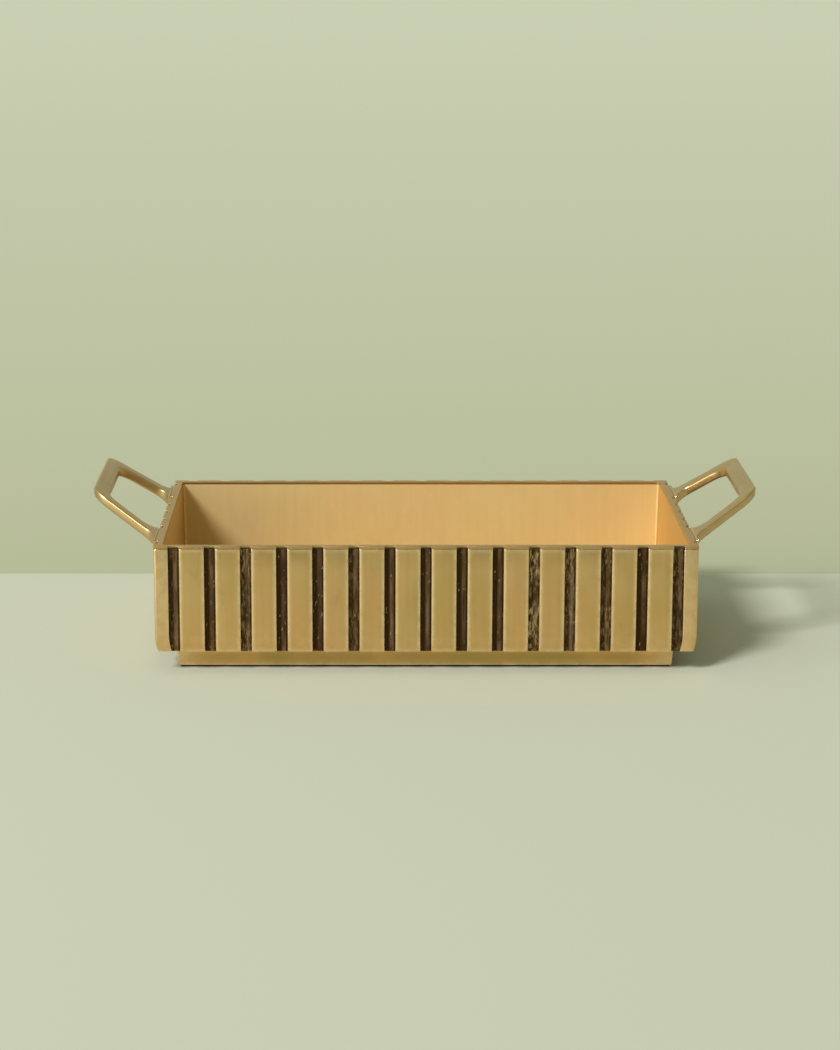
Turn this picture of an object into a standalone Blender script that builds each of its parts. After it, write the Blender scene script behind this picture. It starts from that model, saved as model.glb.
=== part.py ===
"""Brass tray: a rectangular box of ribbed plates with a notched rim, two handles and a plinth.

Units are metres and +Z is up. The origin is on the ground under the middle of the tray, X runs
along its length from handle to handle, and Y runs from the front to the back.

The four sides are the same build: a wall plate carries upright bars with open grooves between
them, an angle covers each corner, and one flat rim lies over everything. A handle stands on each
short side, with its arms on the second groove from each corner.
"""
import math

import bmesh
import bpy
from mathutils import Matrix, Vector

# Body
BODY_LENGTH = 0.320
BODY_WIDTH = 0.1927
BODY_HEIGHT = 0.0768
BASE_HEIGHT = 0.0126
WALL_THICKNESS = 0.0031
WALL_DRAFT = math.radians(1.3)
FLOOR_THICKNESS = 0.0030
# The lower edge of every side curves inwards over its last stretch.
FOOT_CURVE_HEIGHT = 0.0105
FOOT_CURVE_DEPTH = 0.0015
FOOT_CURVE_STEPS = 4

# Ribs and corner posts
LONG_SIDE_RIBS = 14
SHORT_SIDE_RIBS = 8
RIB_WIDTH = 0.015
RIB_DEPTH = 0.0015
RIB_ROUNDING = 0.0004
POST_LEG = 0.00845
POST_CORNER_RADIUS = 0.0012

# Rim
RIM_THICKNESS = 0.0015
RIM_ROUNDING = 0.0003

# Plinth and felt
PLINTH_INSET = 0.0122
PLINTH_DRAFT = 0.0009
PLINTH_BAR_WIDTH = 0.010
PLINTH_ROUNDING = 0.0004
FELT_THICKNESS = 0.0008
FELT_SETBACK = 0.0012
FELT_WIDTH = 0.0072

# Handles: seen from above, reach away from the body's side and spread along it
HANDLE_SLOPE = math.radians(34.0)
HANDLE_DEPTH = 0.0066
# The handle's top meets the body this far below the rim's top.
HANDLE_DROP = 0.0003
HANDLE_REACH = 0.0389
HANDLE_ROUNDING = 0.0006
GRIP_WIDTH = 0.0080
GRIP_OUTER_RADIUS = 0.0125
GRIP_INNER_RADIUS = 0.0135
ARM_WIDTH = 0.0108
ARM_LEAN = math.radians(21.1)
# The arms' middle lies this far inside the middle of the groove that they cover.
ARM_OFFSET = 0.0028
ROOT_INNER_REACH = 0.0182
ROOT_OUTER_REACH = 0.01625
ROOT_PAD = 0.0012
ROOT_INNER_RADIUS = 0.0065
ROOT_OUTER_RADIUS = 0.0090

# The gap that pieces fixed to each other keep
CLEARANCE = 0.0003

ARC_STEP = math.radians(12.0)
BEVEL_SEGMENTS = 2
SHARP_ANGLE = math.radians(35.0)

# Levels and places that follow from the sizes above
RIM_UNDERSIDE = BODY_HEIGHT - RIM_THICKNESS
SIDE_TOP = RIM_UNDERSIDE - CLEARANCE
FLOOR_TOP = BASE_HEIGHT + FLOOR_THICKNESS
WALL_SETBACK = RIB_DEPTH + CLEARANCE
RIM_WIDTH = WALL_SETBACK + WALL_THICKNESS
HALF_LENGTH = BODY_LENGTH / 2
HALF_WIDTH = BODY_WIDTH / 2
# How far the foot of the walls' inner face lies inside the body's outline
INNER_SETBACK = RIM_WIDTH + (SIDE_TOP - FLOOR_TOP) * math.tan(WALL_DRAFT)

FINISHES = {
    "brass_rib": ((0.42, 0.27, 0.09), 0.34, 1.0),
    "brass_wall": ((0.34, 0.20, 0.06), 0.38, 1.0),
    "brass_rim": ((0.38, 0.24, 0.08), 0.36, 1.0),
    "brass_plinth": ((0.30, 0.17, 0.05), 0.40, 1.0),
    "brass_handle": ((0.45, 0.31, 0.12), 0.33, 1.0),
    "felt": ((0.012, 0.011, 0.010), 0.95, 0.0),
}


def clear_scene():
    """Remove every object that the file holds."""
    for obj in list(bpy.data.objects):
        bpy.data.objects.remove(obj)


def make_collection(name):
    """Return a new collection linked to the scene."""
    collection = bpy.data.collections.new(name)
    bpy.context.scene.collection.children.link(collection)
    return collection


def make_finish(name):
    """Return a Principled material with the colour, roughness and metallic value of a finish."""
    colour, roughness, metallic = FINISHES[name]
    material = bpy.data.materials.new(name)
    material.use_nodes = True
    shader = material.node_tree.nodes["Principled BSDF"]
    shader.inputs["Base Color"].default_value = (*colour, 1.0)
    shader.inputs["Roughness"].default_value = roughness
    shader.inputs["Metallic"].default_value = metallic
    return material


def place(name, mesh, finish, parts, matrix=Matrix.Identity(4)):
    """Make one named piece of the tray from a mesh, with its own copy of a finish."""
    obj = bpy.data.objects.new(name, mesh)
    obj.matrix_world = matrix
    parts.objects.link(obj)
    obj.data.materials.clear()
    obj.data.materials.append(make_finish(finish))
    return obj


def round_edges(obj, width):
    """Round the sharp edges of a piece with a Bevel modifier."""
    bevel = obj.modifiers.new("rounded_edges", "BEVEL")
    bevel.width = width
    bevel.segments = BEVEL_SEGMENTS
    bevel.limit_method = "ANGLE"
    bevel.angle_limit = SHARP_ANGLE
    bevel.harden_normals = False


def cut(obj, cutter):
    """Subtract a cutter from a piece."""
    boolean = obj.modifiers.new("cut_" + cutter.name, "BOOLEAN")
    boolean.operation = "DIFFERENCE"
    boolean.solver = "EXACT"
    boolean.object = cutter


def make_cutter(name, mesh, cutters):
    """Make a hidden cutter from a mesh."""
    obj = bpy.data.objects.new(name, mesh)
    cutters.objects.link(obj)
    obj.hide_render = True
    obj.display_type = "WIRE"
    return obj


def box_mesh(name, low, high, levels=()):
    """Return a box between two corners, with an extra loop of edges at each given level."""
    bm = bmesh.new()
    bmesh.ops.create_cube(bm, size=1.0)
    size = Vector(high) - Vector(low)
    middle = (Vector(high) + Vector(low)) / 2
    bmesh.ops.transform(bm, matrix=Matrix.Translation(middle) @ Matrix.Diagonal((*size, 1.0)), verts=bm.verts)
    add_levels(bm, levels)
    mesh = bpy.data.meshes.new(name)
    bm.to_mesh(mesh)
    bm.free()
    return mesh


def add_levels(bm, levels):
    """Cut a loop of edges round a mesh at each given height."""
    for level in levels:
        everything = bm.verts[:] + bm.edges[:] + bm.faces[:]
        bmesh.ops.bisect_plane(bm, geom=everything, dist=1e-7, plane_co=(0, 0, level), plane_no=(0, 0, 1))


def foot_levels():
    """Return the heights between which the lower edge of a side is curved, from the top down."""
    step = FOOT_CURVE_HEIGHT / FOOT_CURVE_STEPS
    return [BASE_HEIGHT + FOOT_CURVE_HEIGHT - step * count for count in range(FOOT_CURVE_STEPS)]


def foot_setback(height):
    """Return how far the outer surface of a side is drawn in at a height."""
    share = (BASE_HEIGHT + FOOT_CURVE_HEIGHT - height) / FOOT_CURVE_HEIGHT
    return FOOT_CURVE_DEPTH * max(0.0, share) ** 2


def rounded_outline(corners):
    """Return the points of a closed outline whose corners are (x, y, radius)."""
    points = []
    for index, (x, y, radius) in enumerate(corners):
        corner = Vector((x, y))
        if radius == 0:
            points.append(corner)
            continue
        before = Vector(corners[index - 1][:2]) - corner
        after = Vector(corners[(index + 1) % len(corners)][:2]) - corner
        turn = math.pi - before.angle(after)
        tangent = radius * math.tan(turn / 2)
        start = corner + before.normalized() * tangent
        centre = corner + (before.normalized() + after.normalized()).normalized() * radius / math.cos(turn / 2)
        side = math.copysign(1.0, before.x * after.y - before.y * after.x)
        steps = max(2, round(turn / ARC_STEP))
        for count in range(steps + 1):
            spin = Matrix.Rotation(-side * turn * count / steps, 2)
            points.append(centre + spin @ (start - centre))
    return points


def flat_mesh(name, outlines, thickness):
    """Return a plate of even thickness, centred on z = 0, whose face is filled between outlines."""
    curve = bpy.data.curves.new(name, "CURVE")
    curve.dimensions = "2D"
    curve.fill_mode = "BOTH"
    curve.extrude = thickness / 2
    for outline in outlines:
        spline = curve.splines.new("POLY")
        spline.points.add(len(outline) - 1)
        spline.use_cyclic_u = True
        for point, place_on_plate in zip(spline.points, outline):
            point.co = (place_on_plate[0], place_on_plate[1], 0.0, 1.0)
    guide = bpy.data.objects.new(name, curve)
    bpy.context.scene.collection.objects.link(guide)
    graph = bpy.context.evaluated_depsgraph_get()
    mesh = bpy.data.meshes.new_from_object(guide.evaluated_get(graph))
    bpy.data.objects.remove(guide)
    bm = bmesh.new()
    bm.from_mesh(mesh)
    bmesh.ops.remove_doubles(bm, verts=bm.verts, dist=1e-6)
    bmesh.ops.dissolve_limit(bm, angle_limit=math.radians(0.1), verts=bm.verts, edges=bm.edges)
    bm.to_mesh(mesh)
    bm.free()
    return mesh


def groove_width(side_length, ribs):
    """Return the even groove that a side's ribs leave between its two corner posts."""
    return (side_length - 2 * POST_LEG - ribs * RIB_WIDTH) / (ribs + 1)


def rib_centres(side_length, ribs):
    """Return the place of each rib along a side, measured from the side's middle."""
    groove = groove_width(side_length, ribs)
    first = -side_length / 2 + POST_LEG + groove + RIB_WIDTH / 2
    return [first + count * (RIB_WIDTH + groove) for count in range(ribs)]


def groove_centres(side_length, ribs):
    """Return the place of each groove along a side, measured from the side's middle."""
    groove = groove_width(side_length, ribs)
    first = -side_length / 2 + POST_LEG + groove / 2
    return [first + count * (RIB_WIDTH + groove) for count in range(ribs + 1)]


def side_matrix(turn, reach):
    """Return the frame of a side: +X along it, +Y outwards, at a reach from the body's middle."""
    return Matrix.Rotation(turn, 4, "Z") @ Matrix.Translation((0, reach, 0))


SIDES = {
    "front": (math.pi, HALF_WIDTH, BODY_LENGTH, LONG_SIDE_RIBS),
    "back": (0.0, HALF_WIDTH, BODY_LENGTH, LONG_SIDE_RIBS),
    "left": (math.pi / 2, HALF_LENGTH, BODY_WIDTH, SHORT_SIDE_RIBS),
    "right": (-math.pi / 2, HALF_LENGTH, BODY_WIDTH, SHORT_SIDE_RIBS),
}


def build_wall(side, parts):
    """Make the plate of one side: curved outer foot, drafted inner face and mitred ends."""
    turn, reach, side_length, _ = SIDES[side]
    low = (-side_length / 2, -RIM_WIDTH, BASE_HEIGHT)
    high = (side_length / 2, -WALL_SETBACK, SIDE_TOP)
    mesh = box_mesh("wall_" + side, low, high, [*foot_levels(), FLOOR_TOP])
    middle_depth = -(WALL_SETBACK + RIM_WIDTH) / 2
    mitre_gap = CLEARANCE / math.sqrt(2)
    for vertex in mesh.vertices:
        height = vertex.co.z
        if vertex.co.y < middle_depth:
            vertex.co.y -= (SIDE_TOP - max(height, FLOOR_TOP)) * math.tan(WALL_DRAFT)
        else:
            vertex.co.y -= foot_setback(height)
        end = side_length / 2 + vertex.co.y - mitre_gap
        vertex.co.x = math.copysign(end, vertex.co.x)
    place("wall_" + side, mesh, "brass_wall", parts, side_matrix(turn, reach))


def build_floor(parts):
    """Make the floor plate, which fits between the feet of the four walls."""
    half_x = HALF_LENGTH - INNER_SETBACK - CLEARANCE
    half_y = HALF_WIDTH - INNER_SETBACK - CLEARANCE
    mesh = box_mesh("floor_plate", (-half_x, -half_y, BASE_HEIGHT), (half_x, half_y, FLOOR_TOP))
    place("floor_plate", mesh, "brass_wall", parts)


def build_ribs(side, parts):
    """Make the upright bars of one side, numbered from its left end as seen from outside."""
    turn, reach, side_length, ribs = SIDES[side]
    for number, centre in enumerate(reversed(rib_centres(side_length, ribs)), start=1):
        low = (-RIB_WIDTH / 2, -RIB_DEPTH, BASE_HEIGHT)
        high = (RIB_WIDTH / 2, 0.0, SIDE_TOP)
        name = f"rib_{side}_{number:02d}"
        mesh = box_mesh(name, low, high, foot_levels())
        for vertex in mesh.vertices:
            vertex.co.y -= foot_setback(vertex.co.z)
        matrix = side_matrix(turn, reach) @ Matrix.Translation((centre, 0, 0))
        rib = place(name, mesh, "brass_rib", parts, matrix)
        round_edges(rib, RIB_ROUNDING)


def build_post(name, x_sign, y_sign, parts):
    """Make the angle that covers one upright corner of the body."""
    corners = [
        (0.0, 0.0, POST_CORNER_RADIUS),
        (-POST_LEG, 0.0, 0.0),
        (-POST_LEG, -RIB_DEPTH, 0.0),
        (-RIB_DEPTH, -RIB_DEPTH, 0.0),
        (-RIB_DEPTH, -POST_LEG, 0.0),
        (0.0, -POST_LEG, 0.0),
    ]
    height = SIDE_TOP - BASE_HEIGHT
    mesh = flat_mesh(name, [rounded_outline(corners)], height)
    mesh.transform(Matrix.Translation((0, 0, BASE_HEIGHT + height / 2)))
    bm = bmesh.new()
    bm.from_mesh(mesh)
    add_levels(bm, foot_levels())
    for vertex in bm.verts:
        vertex.co.x -= foot_setback(vertex.co.z)
        vertex.co.y -= foot_setback(vertex.co.z)
    turns = {(1, 1): 0.0, (-1, 1): math.pi / 2, (-1, -1): math.pi, (1, -1): -math.pi / 2}
    bm.to_mesh(mesh)
    bm.free()
    matrix = Matrix.Translation((x_sign * HALF_LENGTH, y_sign * HALF_WIDTH, 0))
    post = place(name, mesh, "brass_rib", parts, matrix @ Matrix.Rotation(turns[x_sign, y_sign], 4, "Z"))
    round_edges(post, RIB_ROUNDING)


def notched_side(side, notch_places):
    """Return the outer edge of the rim along one side, with a notch at each given place."""
    turn, reach, side_length, ribs = SIDES[side]
    half_notch = groove_width(side_length, ribs) / 2
    points = [(side_length / 2, 0.0)]
    for centre in sorted(notch_places, reverse=True):
        points.append((centre + half_notch, 0.0))
        points.append((centre + half_notch, -WALL_SETBACK))
        points.append((centre - half_notch, -WALL_SETBACK))
        points.append((centre - half_notch, 0.0))
    matrix = side_matrix(turn, reach)
    return [(matrix @ Vector((x, y, 0))).xy for x, y in points]


def build_rim(parts):
    """Make the flat rim: one frame, notched over every groove that no handle arm covers."""
    long_notches = groove_centres(BODY_LENGTH, LONG_SIDE_RIBS)
    short_notches = groove_centres(BODY_WIDTH, SHORT_SIDE_RIBS)
    del short_notches[-2]
    del short_notches[1]
    outer = []
    for side in ("back", "left", "front", "right"):
        outer += notched_side(side, long_notches if side in ("front", "back") else short_notches)
    half_x = HALF_LENGTH - RIM_WIDTH
    half_y = HALF_WIDTH - RIM_WIDTH
    inner = [(half_x, half_y), (-half_x, half_y), (-half_x, -half_y), (half_x, -half_y)]
    mesh = flat_mesh("rim_frame", [outer, inner], RIM_THICKNESS)
    matrix = Matrix.Translation((0, 0, BODY_HEIGHT - RIM_THICKNESS / 2))
    rim = place("rim_frame", mesh, "brass_rim", parts, matrix)
    round_edges(rim, RIM_ROUNDING)


def build_plinth(parts, cutters):
    """Make the plinth: a set-back frame with leaning outer faces under the floor."""
    low_level = FELT_THICKNESS + CLEARANCE
    high_level = BASE_HEIGHT - CLEARANCE
    half_x = HALF_LENGTH - PLINTH_INSET
    half_y = HALF_WIDTH - PLINTH_INSET
    mesh = box_mesh("plinth_frame", (-half_x, -half_y, low_level), (half_x, half_y, high_level))
    for vertex in mesh.vertices:
        if vertex.co.z < (low_level + high_level) / 2:
            vertex.co.x -= math.copysign(PLINTH_DRAFT, vertex.co.x)
            vertex.co.y -= math.copysign(PLINTH_DRAFT, vertex.co.y)
    plinth = place("plinth_frame", mesh, "brass_plinth", parts)
    open_x = half_x - PLINTH_BAR_WIDTH
    open_y = half_y - PLINTH_BAR_WIDTH
    hollow = box_mesh("plinth_hollow", (-open_x, -open_y, 0.0), (open_x, open_y, BODY_HEIGHT))
    cut(plinth, make_cutter("plinth_hollow", hollow, cutters))
    round_edges(plinth, PLINTH_ROUNDING)


def build_felts(parts):
    """Make the two felt strips that the plinth's long bars stand on."""
    edge_x = HALF_LENGTH - PLINTH_INSET - PLINTH_DRAFT - FELT_SETBACK
    edge_y = HALF_WIDTH - PLINTH_INSET - PLINTH_DRAFT - FELT_SETBACK
    for name, low_y in (("felt_strip_front", -edge_y), ("felt_strip_back", edge_y - FELT_WIDTH)):
        mesh = box_mesh(name, (-edge_x, low_y, 0.0), (edge_x, low_y + FELT_WIDTH, FELT_THICKNESS))
        place(name, mesh, "felt", parts)


def handle_outline():
    """Return the handle's outline from above: x away from the body, y along the body's side."""
    root = groove_centres(BODY_WIDTH, SHORT_SIDE_RIBS)[-2]
    lean = math.tan(ARM_LEAN)
    hole_reach = HANDLE_REACH - GRIP_WIDTH
    root_in = root - ROOT_INNER_REACH
    root_out = root + ROOT_OUTER_REACH
    arm_in = root - ARM_OFFSET - ARM_WIDTH / 2
    arm_out = root - ARM_OFFSET + ARM_WIDTH / 2
    hole_half = [
        (0.0, root_in, 0.0),
        (ROOT_PAD, root_in, 0.0),
        (ROOT_PAD, arm_in - ROOT_PAD * lean, ROOT_INNER_RADIUS),
        (hole_reach, arm_in - hole_reach * lean, GRIP_INNER_RADIUS),
    ]
    outer_half = [
        (HANDLE_REACH, arm_out - HANDLE_REACH * lean, GRIP_OUTER_RADIUS),
        (ROOT_PAD, arm_out - ROOT_PAD * lean, ROOT_OUTER_RADIUS),
        (ROOT_PAD, root_out, 0.0),
        (0.0, root_out, 0.0),
    ]
    hole_mirrored = [(x, -y, radius) for x, y, radius in reversed(hole_half)]
    outer_mirrored = [(x, -y, radius) for x, y, radius in reversed(outer_half)]
    return rounded_outline(hole_half + hole_mirrored + outer_mirrored + outer_half)


def build_handle(name, turn, parts):
    """Make one handle: a bow with upright edges, sheared so that it climbs away from the body."""
    mesh = flat_mesh(name, [handle_outline()], HANDLE_DEPTH)
    mesh.transform(Matrix.Translation((0, 0, -HANDLE_DEPTH / 2)))
    climb = Matrix.Identity(4)
    climb[2][0] = math.tan(HANDLE_SLOPE)
    mesh.transform(climb)
    stand = Matrix.Translation((HALF_LENGTH + CLEARANCE, 0, BODY_HEIGHT - HANDLE_DROP))
    handle = place(name, mesh, "brass_handle", parts, Matrix.Rotation(turn, 4, "Z") @ stand)
    round_edges(handle, HANDLE_ROUNDING)


def main():
    """Build the tray from the floor up."""
    clear_scene()
    parts = make_collection("brass_tray")
    cutters = make_collection("cutters")
    build_felts(parts)
    build_plinth(parts, cutters)
    build_floor(parts)
    for side in SIDES:
        build_wall(side, parts)
        build_ribs(side, parts)
    for end, x_sign in (("left", -1), ("right", 1)):
        build_post("post_front_" + end, x_sign, -1, parts)
        build_post("post_back_" + end, x_sign, 1, parts)
    build_rim(parts)
    build_handle("handle_right", 0.0, parts)
    build_handle("handle_left", math.pi, parts)


main()
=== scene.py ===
"""Looks of the brass tray: ribbed sides, a notched rim, two bow handles, a plinth and felt strips.

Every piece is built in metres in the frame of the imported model, and takes its place from it. The
tray stands on the ground at z = 0, X runs from handle to handle and Y from the front to the back.
"""
import logging
import math
from dataclasses import dataclass, field, replace
from enum import Enum

import bmesh
import bpy
from mathutils import Matrix, Vector, noise


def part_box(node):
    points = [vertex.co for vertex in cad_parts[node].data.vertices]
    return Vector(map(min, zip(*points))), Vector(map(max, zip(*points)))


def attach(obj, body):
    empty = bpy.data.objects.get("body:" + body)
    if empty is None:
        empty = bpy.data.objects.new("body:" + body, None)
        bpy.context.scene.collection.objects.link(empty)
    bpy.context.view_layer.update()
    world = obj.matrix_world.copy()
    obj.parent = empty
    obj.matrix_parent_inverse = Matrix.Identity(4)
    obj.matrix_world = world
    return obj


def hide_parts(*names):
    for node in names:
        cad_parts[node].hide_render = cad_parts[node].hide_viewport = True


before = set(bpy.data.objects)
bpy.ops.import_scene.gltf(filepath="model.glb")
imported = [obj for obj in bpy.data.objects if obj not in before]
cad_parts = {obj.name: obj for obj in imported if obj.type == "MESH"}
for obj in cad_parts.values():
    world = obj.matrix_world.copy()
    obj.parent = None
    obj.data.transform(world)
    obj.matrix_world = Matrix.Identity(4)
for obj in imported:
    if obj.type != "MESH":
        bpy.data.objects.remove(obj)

LOG = logging.getLogger("brass_tray")
BODY = "root"
WEAR_AND_HIGHLIGHT_KEPT = 0.8

Colour = tuple[float, float, float]
Place = tuple[float, float, float]
Point = tuple[float, float]
Mesh = bpy.types.Mesh
Object = bpy.types.Object
Material = bpy.types.Material
Socket = bpy.types.NodeSocket
Source = Socket | float | str | tuple[float, ...]

QUARTERS: tuple[Point, ...] = ((1, 1), (-1, 1), (-1, -1), (1, -1))


class Side(Enum):
    """The four sides of the tray, each with the turn that brings +Y to its outward direction."""

    FRONT = ("front", math.pi)
    BACK = ("back", 0.0)
    LEFT = ("left", math.pi / 2)
    RIGHT = ("right", -math.pi / 2)

    @property
    def label(self) -> str:
        """The word for the side in the names of its nodes."""
        return self.value[0]

    @property
    def is_long(self) -> bool:
        """Whether the side runs along the tray's length."""
        return self in (Side.FRONT, Side.BACK)

    def frame(self, reach: float) -> Matrix:
        """Return the frame at a side's outer face: +X runs along the side and +Y points outwards."""
        return Matrix.Rotation(self.value[1], 4, "Z") @ Matrix.Translation((0, reach, 0))


class Corner(Enum):
    """The four upright corners, each with its name and the signs of its X and Y."""

    FRONT_LEFT = ("front_left", -1, -1)
    FRONT_RIGHT = ("front_right", 1, -1)
    BACK_LEFT = ("back_left", -1, 1)
    BACK_RIGHT = ("back_right", 1, 1)


class Grain(Enum):
    """Directions in which a surface was brushed, as the stretch of its scratches along X, Y, Z."""

    UPRIGHT = (1.0, 1.0, 0.03)
    LENGTHWAYS = (0.03, 1.0, 1.0)
    ROUND = (0.5, 0.5, 0.5)


# ---- Mesh work ----


def box_of(node: str) -> tuple[Vector, Vector]:
    """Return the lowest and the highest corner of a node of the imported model."""
    low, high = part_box(node)
    return Vector(low), Vector(high)


def rib_names(side: Side) -> list[str]:
    """Return the names of a side's rib nodes, in order along the side."""
    return sorted(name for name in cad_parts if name.startswith(f"rib_{side.label}_"))


def rib_spacing(side: Side) -> tuple[int, float, float]:
    """Read how a side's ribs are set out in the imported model.

    Args:
        side: the side.

    Returns:
        How many ribs there are, how wide each is, and their pitch.
    """
    names = rib_names(side)
    along = 0 if side.is_long else 1
    low, high = box_of(names[0])
    next_low, _ = box_of(names[1])
    return len(names), high[along] - low[along], abs(next_low[along] - low[along])


def groove_spans(side: Side) -> list[Point]:
    """Work out where the open grooves of a side are.

    Args:
        side: the side.

    Returns:
        The start and the end of every groove, in the side's own frame.
    """
    count, width, pitch = rib_spacing(side)
    first = -(count + 1) / 2 * pitch + width / 2
    return [(first + index * pitch, first + (index + 1) * pitch - width) for index in range(count + 1)]


def finished_mesh(obj: Object, smooth_angle: float = math.radians(40)) -> Object:
    """Turn an object with modifiers into a plain piece at the origin.

    Args:
        obj: the object, whose modifiers and place are taken into its mesh.
        smooth_angle: the angle above which an edge stays sharp.

    Returns:
        The same object, with a plain mesh, no modifier and no turn or scale.
    """
    bpy.context.view_layer.update()
    graph = bpy.context.evaluated_depsgraph_get()
    mesh = bpy.data.meshes.new_from_object(obj.evaluated_get(graph))
    mesh.transform(obj.matrix_world)
    obj.modifiers.clear()
    obj.matrix_world = Matrix.Identity(4)
    obj.data = mesh
    mesh.shade_smooth()
    mesh.set_sharp_from_angle(angle=smooth_angle)
    return obj


def new_object(name: str, mesh: Mesh) -> Object:
    """Make an object from a mesh and link it to the scene.

    Args:
        name: name of the object.
        mesh: its mesh.

    Returns:
        The object.
    """
    obj = bpy.data.objects.new(name, mesh)
    bpy.context.scene.collection.objects.link(obj)
    return obj


def raised(bm: bmesh.types.BMesh, faces: list[bmesh.types.BMFace], height: float) -> None:
    """Draw flat faces up into a solid.

    Args:
        bm: the mesh that they are in.
        faces: the faces.
        height: height of the solid.
    """
    grown = bmesh.ops.extrude_face_region(bm, geom=faces)
    top = [item for item in grown["geom"] if isinstance(item, bmesh.types.BMVert)]
    bmesh.ops.translate(bm, verts=top, vec=(0, 0, height))


def outward_mesh(name: str, bm: bmesh.types.BMesh) -> Mesh:
    """Close the work on a mesh.

    Args:
        name: name of the mesh.
        bm: the faces, which this call frees.

    Returns:
        A plain mesh with its faces outwards.
    """
    bmesh.ops.recalc_face_normals(bm, faces=bm.faces)
    mesh = bpy.data.meshes.new(name)
    bm.to_mesh(mesh)
    bm.free()
    return mesh


def prism(name: str, outline: list[Point], low: float, high: float, levels: list[float]) -> Mesh:
    """Build an upright prism from a flat outline.

    Args:
        name: name of the mesh.
        outline: the points of the closed outline, in order.
        low: height of the prism's underside.
        high: height of its top.
        levels: heights at which an extra loop of edges goes round it.

    Returns:
        A closed mesh with its faces outwards.
    """
    bm = bmesh.new()
    base = bm.faces.new([bm.verts.new((x, y, low)) for x, y in outline])
    raised(bm, [base], high - low)
    for level in levels:
        everything = bm.verts[:] + bm.edges[:] + bm.faces[:]
        bmesh.ops.bisect_plane(bm, geom=everything, dist=1e-7, plane_co=(0, 0, level), plane_no=(0, 0, 1))
    return outward_mesh(name, bm)


def swept(name: str, stations: list[list[Vector]], is_ring: bool = False) -> Mesh:
    """Build a skin through a row of stations, each with the same number of points.

    Args:
        name: name of the mesh.
        stations: the sections, in order along the sweep.
        is_ring: whether the last section joins the first; otherwise both ends are closed.

    Returns:
        A closed mesh with its faces outwards.
    """
    bm = bmesh.new()
    loops = [[bm.verts.new(point) for point in station] for station in stations]
    count = len(loops[0])
    last = len(loops) if is_ring else len(loops) - 1
    for index in range(last):
        near, far = loops[index], loops[(index + 1) % len(loops)]
        for corner in range(count):
            after = (corner + 1) % count
            bm.faces.new((near[corner], near[after], far[after], far[corner]))
    if not is_ring:
        bm.faces.new(loops[0])
        bm.faces.new(loops[-1])
    return outward_mesh(name, bm)


def rounded_outline(corners: list[tuple[float, float, float]], step: float = math.radians(9)) -> list[Point]:
    """Round the corners of an outline.

    Args:
        corners: the corners as (x, y, radius), in order; a radius of 0 keeps a corner sharp.
        step: the angle between two points of an arc.

    Returns:
        The points of the rounded outline, in order.
    """
    points: list[Point] = []
    for index, (x, y, radius) in enumerate(corners):
        corner = Vector((x, y))
        if radius == 0:
            points.append((x, y))
            continue
        before = (Vector(corners[index - 1][:2]) - corner).normalized()
        after = (Vector(corners[(index + 1) % len(corners)][:2]) - corner).normalized()
        turn = math.pi - before.angle(after)
        start = corner + before * radius * math.tan(turn / 2)
        centre = corner + (before + after).normalized() * radius / math.cos(turn / 2)
        side = math.copysign(1.0, before.x * after.y - before.y * after.x)
        steps = max(2, round(turn / step))
        for count in range(steps + 1):
            spin = Matrix.Rotation(-side * turn * count / steps, 2)
            points.append(tuple(centre + spin @ (start - centre)))
    return points


def round_edges(obj: Object, width: float, segments: int, angle: float = math.radians(35)) -> None:
    """Give an object a Bevel modifier for its sharp edges.

    Args:
        obj: the object.
        width: width of the rounding.
        segments: number of steps in it.
        angle: the angle from which an edge counts as sharp.
    """
    bevel = obj.modifiers.new("rounding", "BEVEL")
    bevel.width = width
    bevel.segments = segments
    bevel.limit_method = "ANGLE"
    bevel.angle_limit = angle


def store_values(mesh: Mesh, name: str, values: list[float]) -> None:
    """Store one number for each point of a mesh under a name that a material can read."""
    layer = mesh.attributes.new(name, "FLOAT", "POINT")
    layer.data.foreach_set("value", values)


def mark_worn_edges(mesh: Mesh, full_angle: float = math.radians(22), spread: int = 1) -> None:
    """Store for each point how much it lies on an outward edge, where hands and cloths rub; the pale colour
    that this brings is also a painted highlight.

    Args:
        mesh: the mesh to mark.
        full_angle: the fold at which a point counts as fully marked.
        spread: how many times the marks are eased over the neighbouring points.
    """
    bm = bmesh.new()
    bm.from_mesh(mesh)
    worn = [0.0] * len(bm.verts)
    for edge in bm.edges:
        share = min(1.0, max(0.0, edge.calc_face_angle_signed(0.0) / full_angle))
        for vertex in edge.verts:
            worn[vertex.index] = max(worn[vertex.index], share)
    for _ in range(spread):
        eased = list(worn)
        for vertex in bm.verts:
            around = [worn[edge.other_vert(vertex).index] for edge in vertex.link_edges]
            eased[vertex.index] = max(worn[vertex.index] * WEAR_AND_HIGHLIGHT_KEPT, sum(around) / len(around))
        worn = eased
    bm.free()
    store_values(mesh, "worn", worn)


def dress(piece: Object, material: Material, nodes: list[str]) -> Object:
    """Finish a piece: one material, its place on the body, and the nodes that it stands for.

    Args:
        piece: the finished piece.
        material: its material.
        nodes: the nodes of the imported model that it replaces.

    Returns:
        The piece.
    """
    piece.data.materials.clear()
    piece.data.materials.append(material)
    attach(piece, BODY)
    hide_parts(*nodes)
    LOG.info("%s: %d faces, stands for %d nodes", piece.name, len(piece.data.polygons), len(nodes))
    return piece


# ---- Node trees ----


@dataclass(frozen=True)
class Mottle:
    """A soft pattern: how fine and how stretched it is, and the shares that it runs between."""

    scale: float
    detail: float
    stretch: Place
    shift: float
    span: Point
    shares: Point = (0.0, 1.0)
    rough: float = 0.55


def join(tree: bpy.types.NodeTree, source: Source, target: Socket) -> None:
    """Feed a socket.

    Args:
        tree: the tree that the socket is in.
        source: another socket, or a value.
        target: the socket.
    """
    if isinstance(source, Socket):
        tree.links.new(source, target)
    elif target.type == "RGBA":
        target.default_value = (*source, 1.0)
    else:
        target.default_value = source


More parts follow.
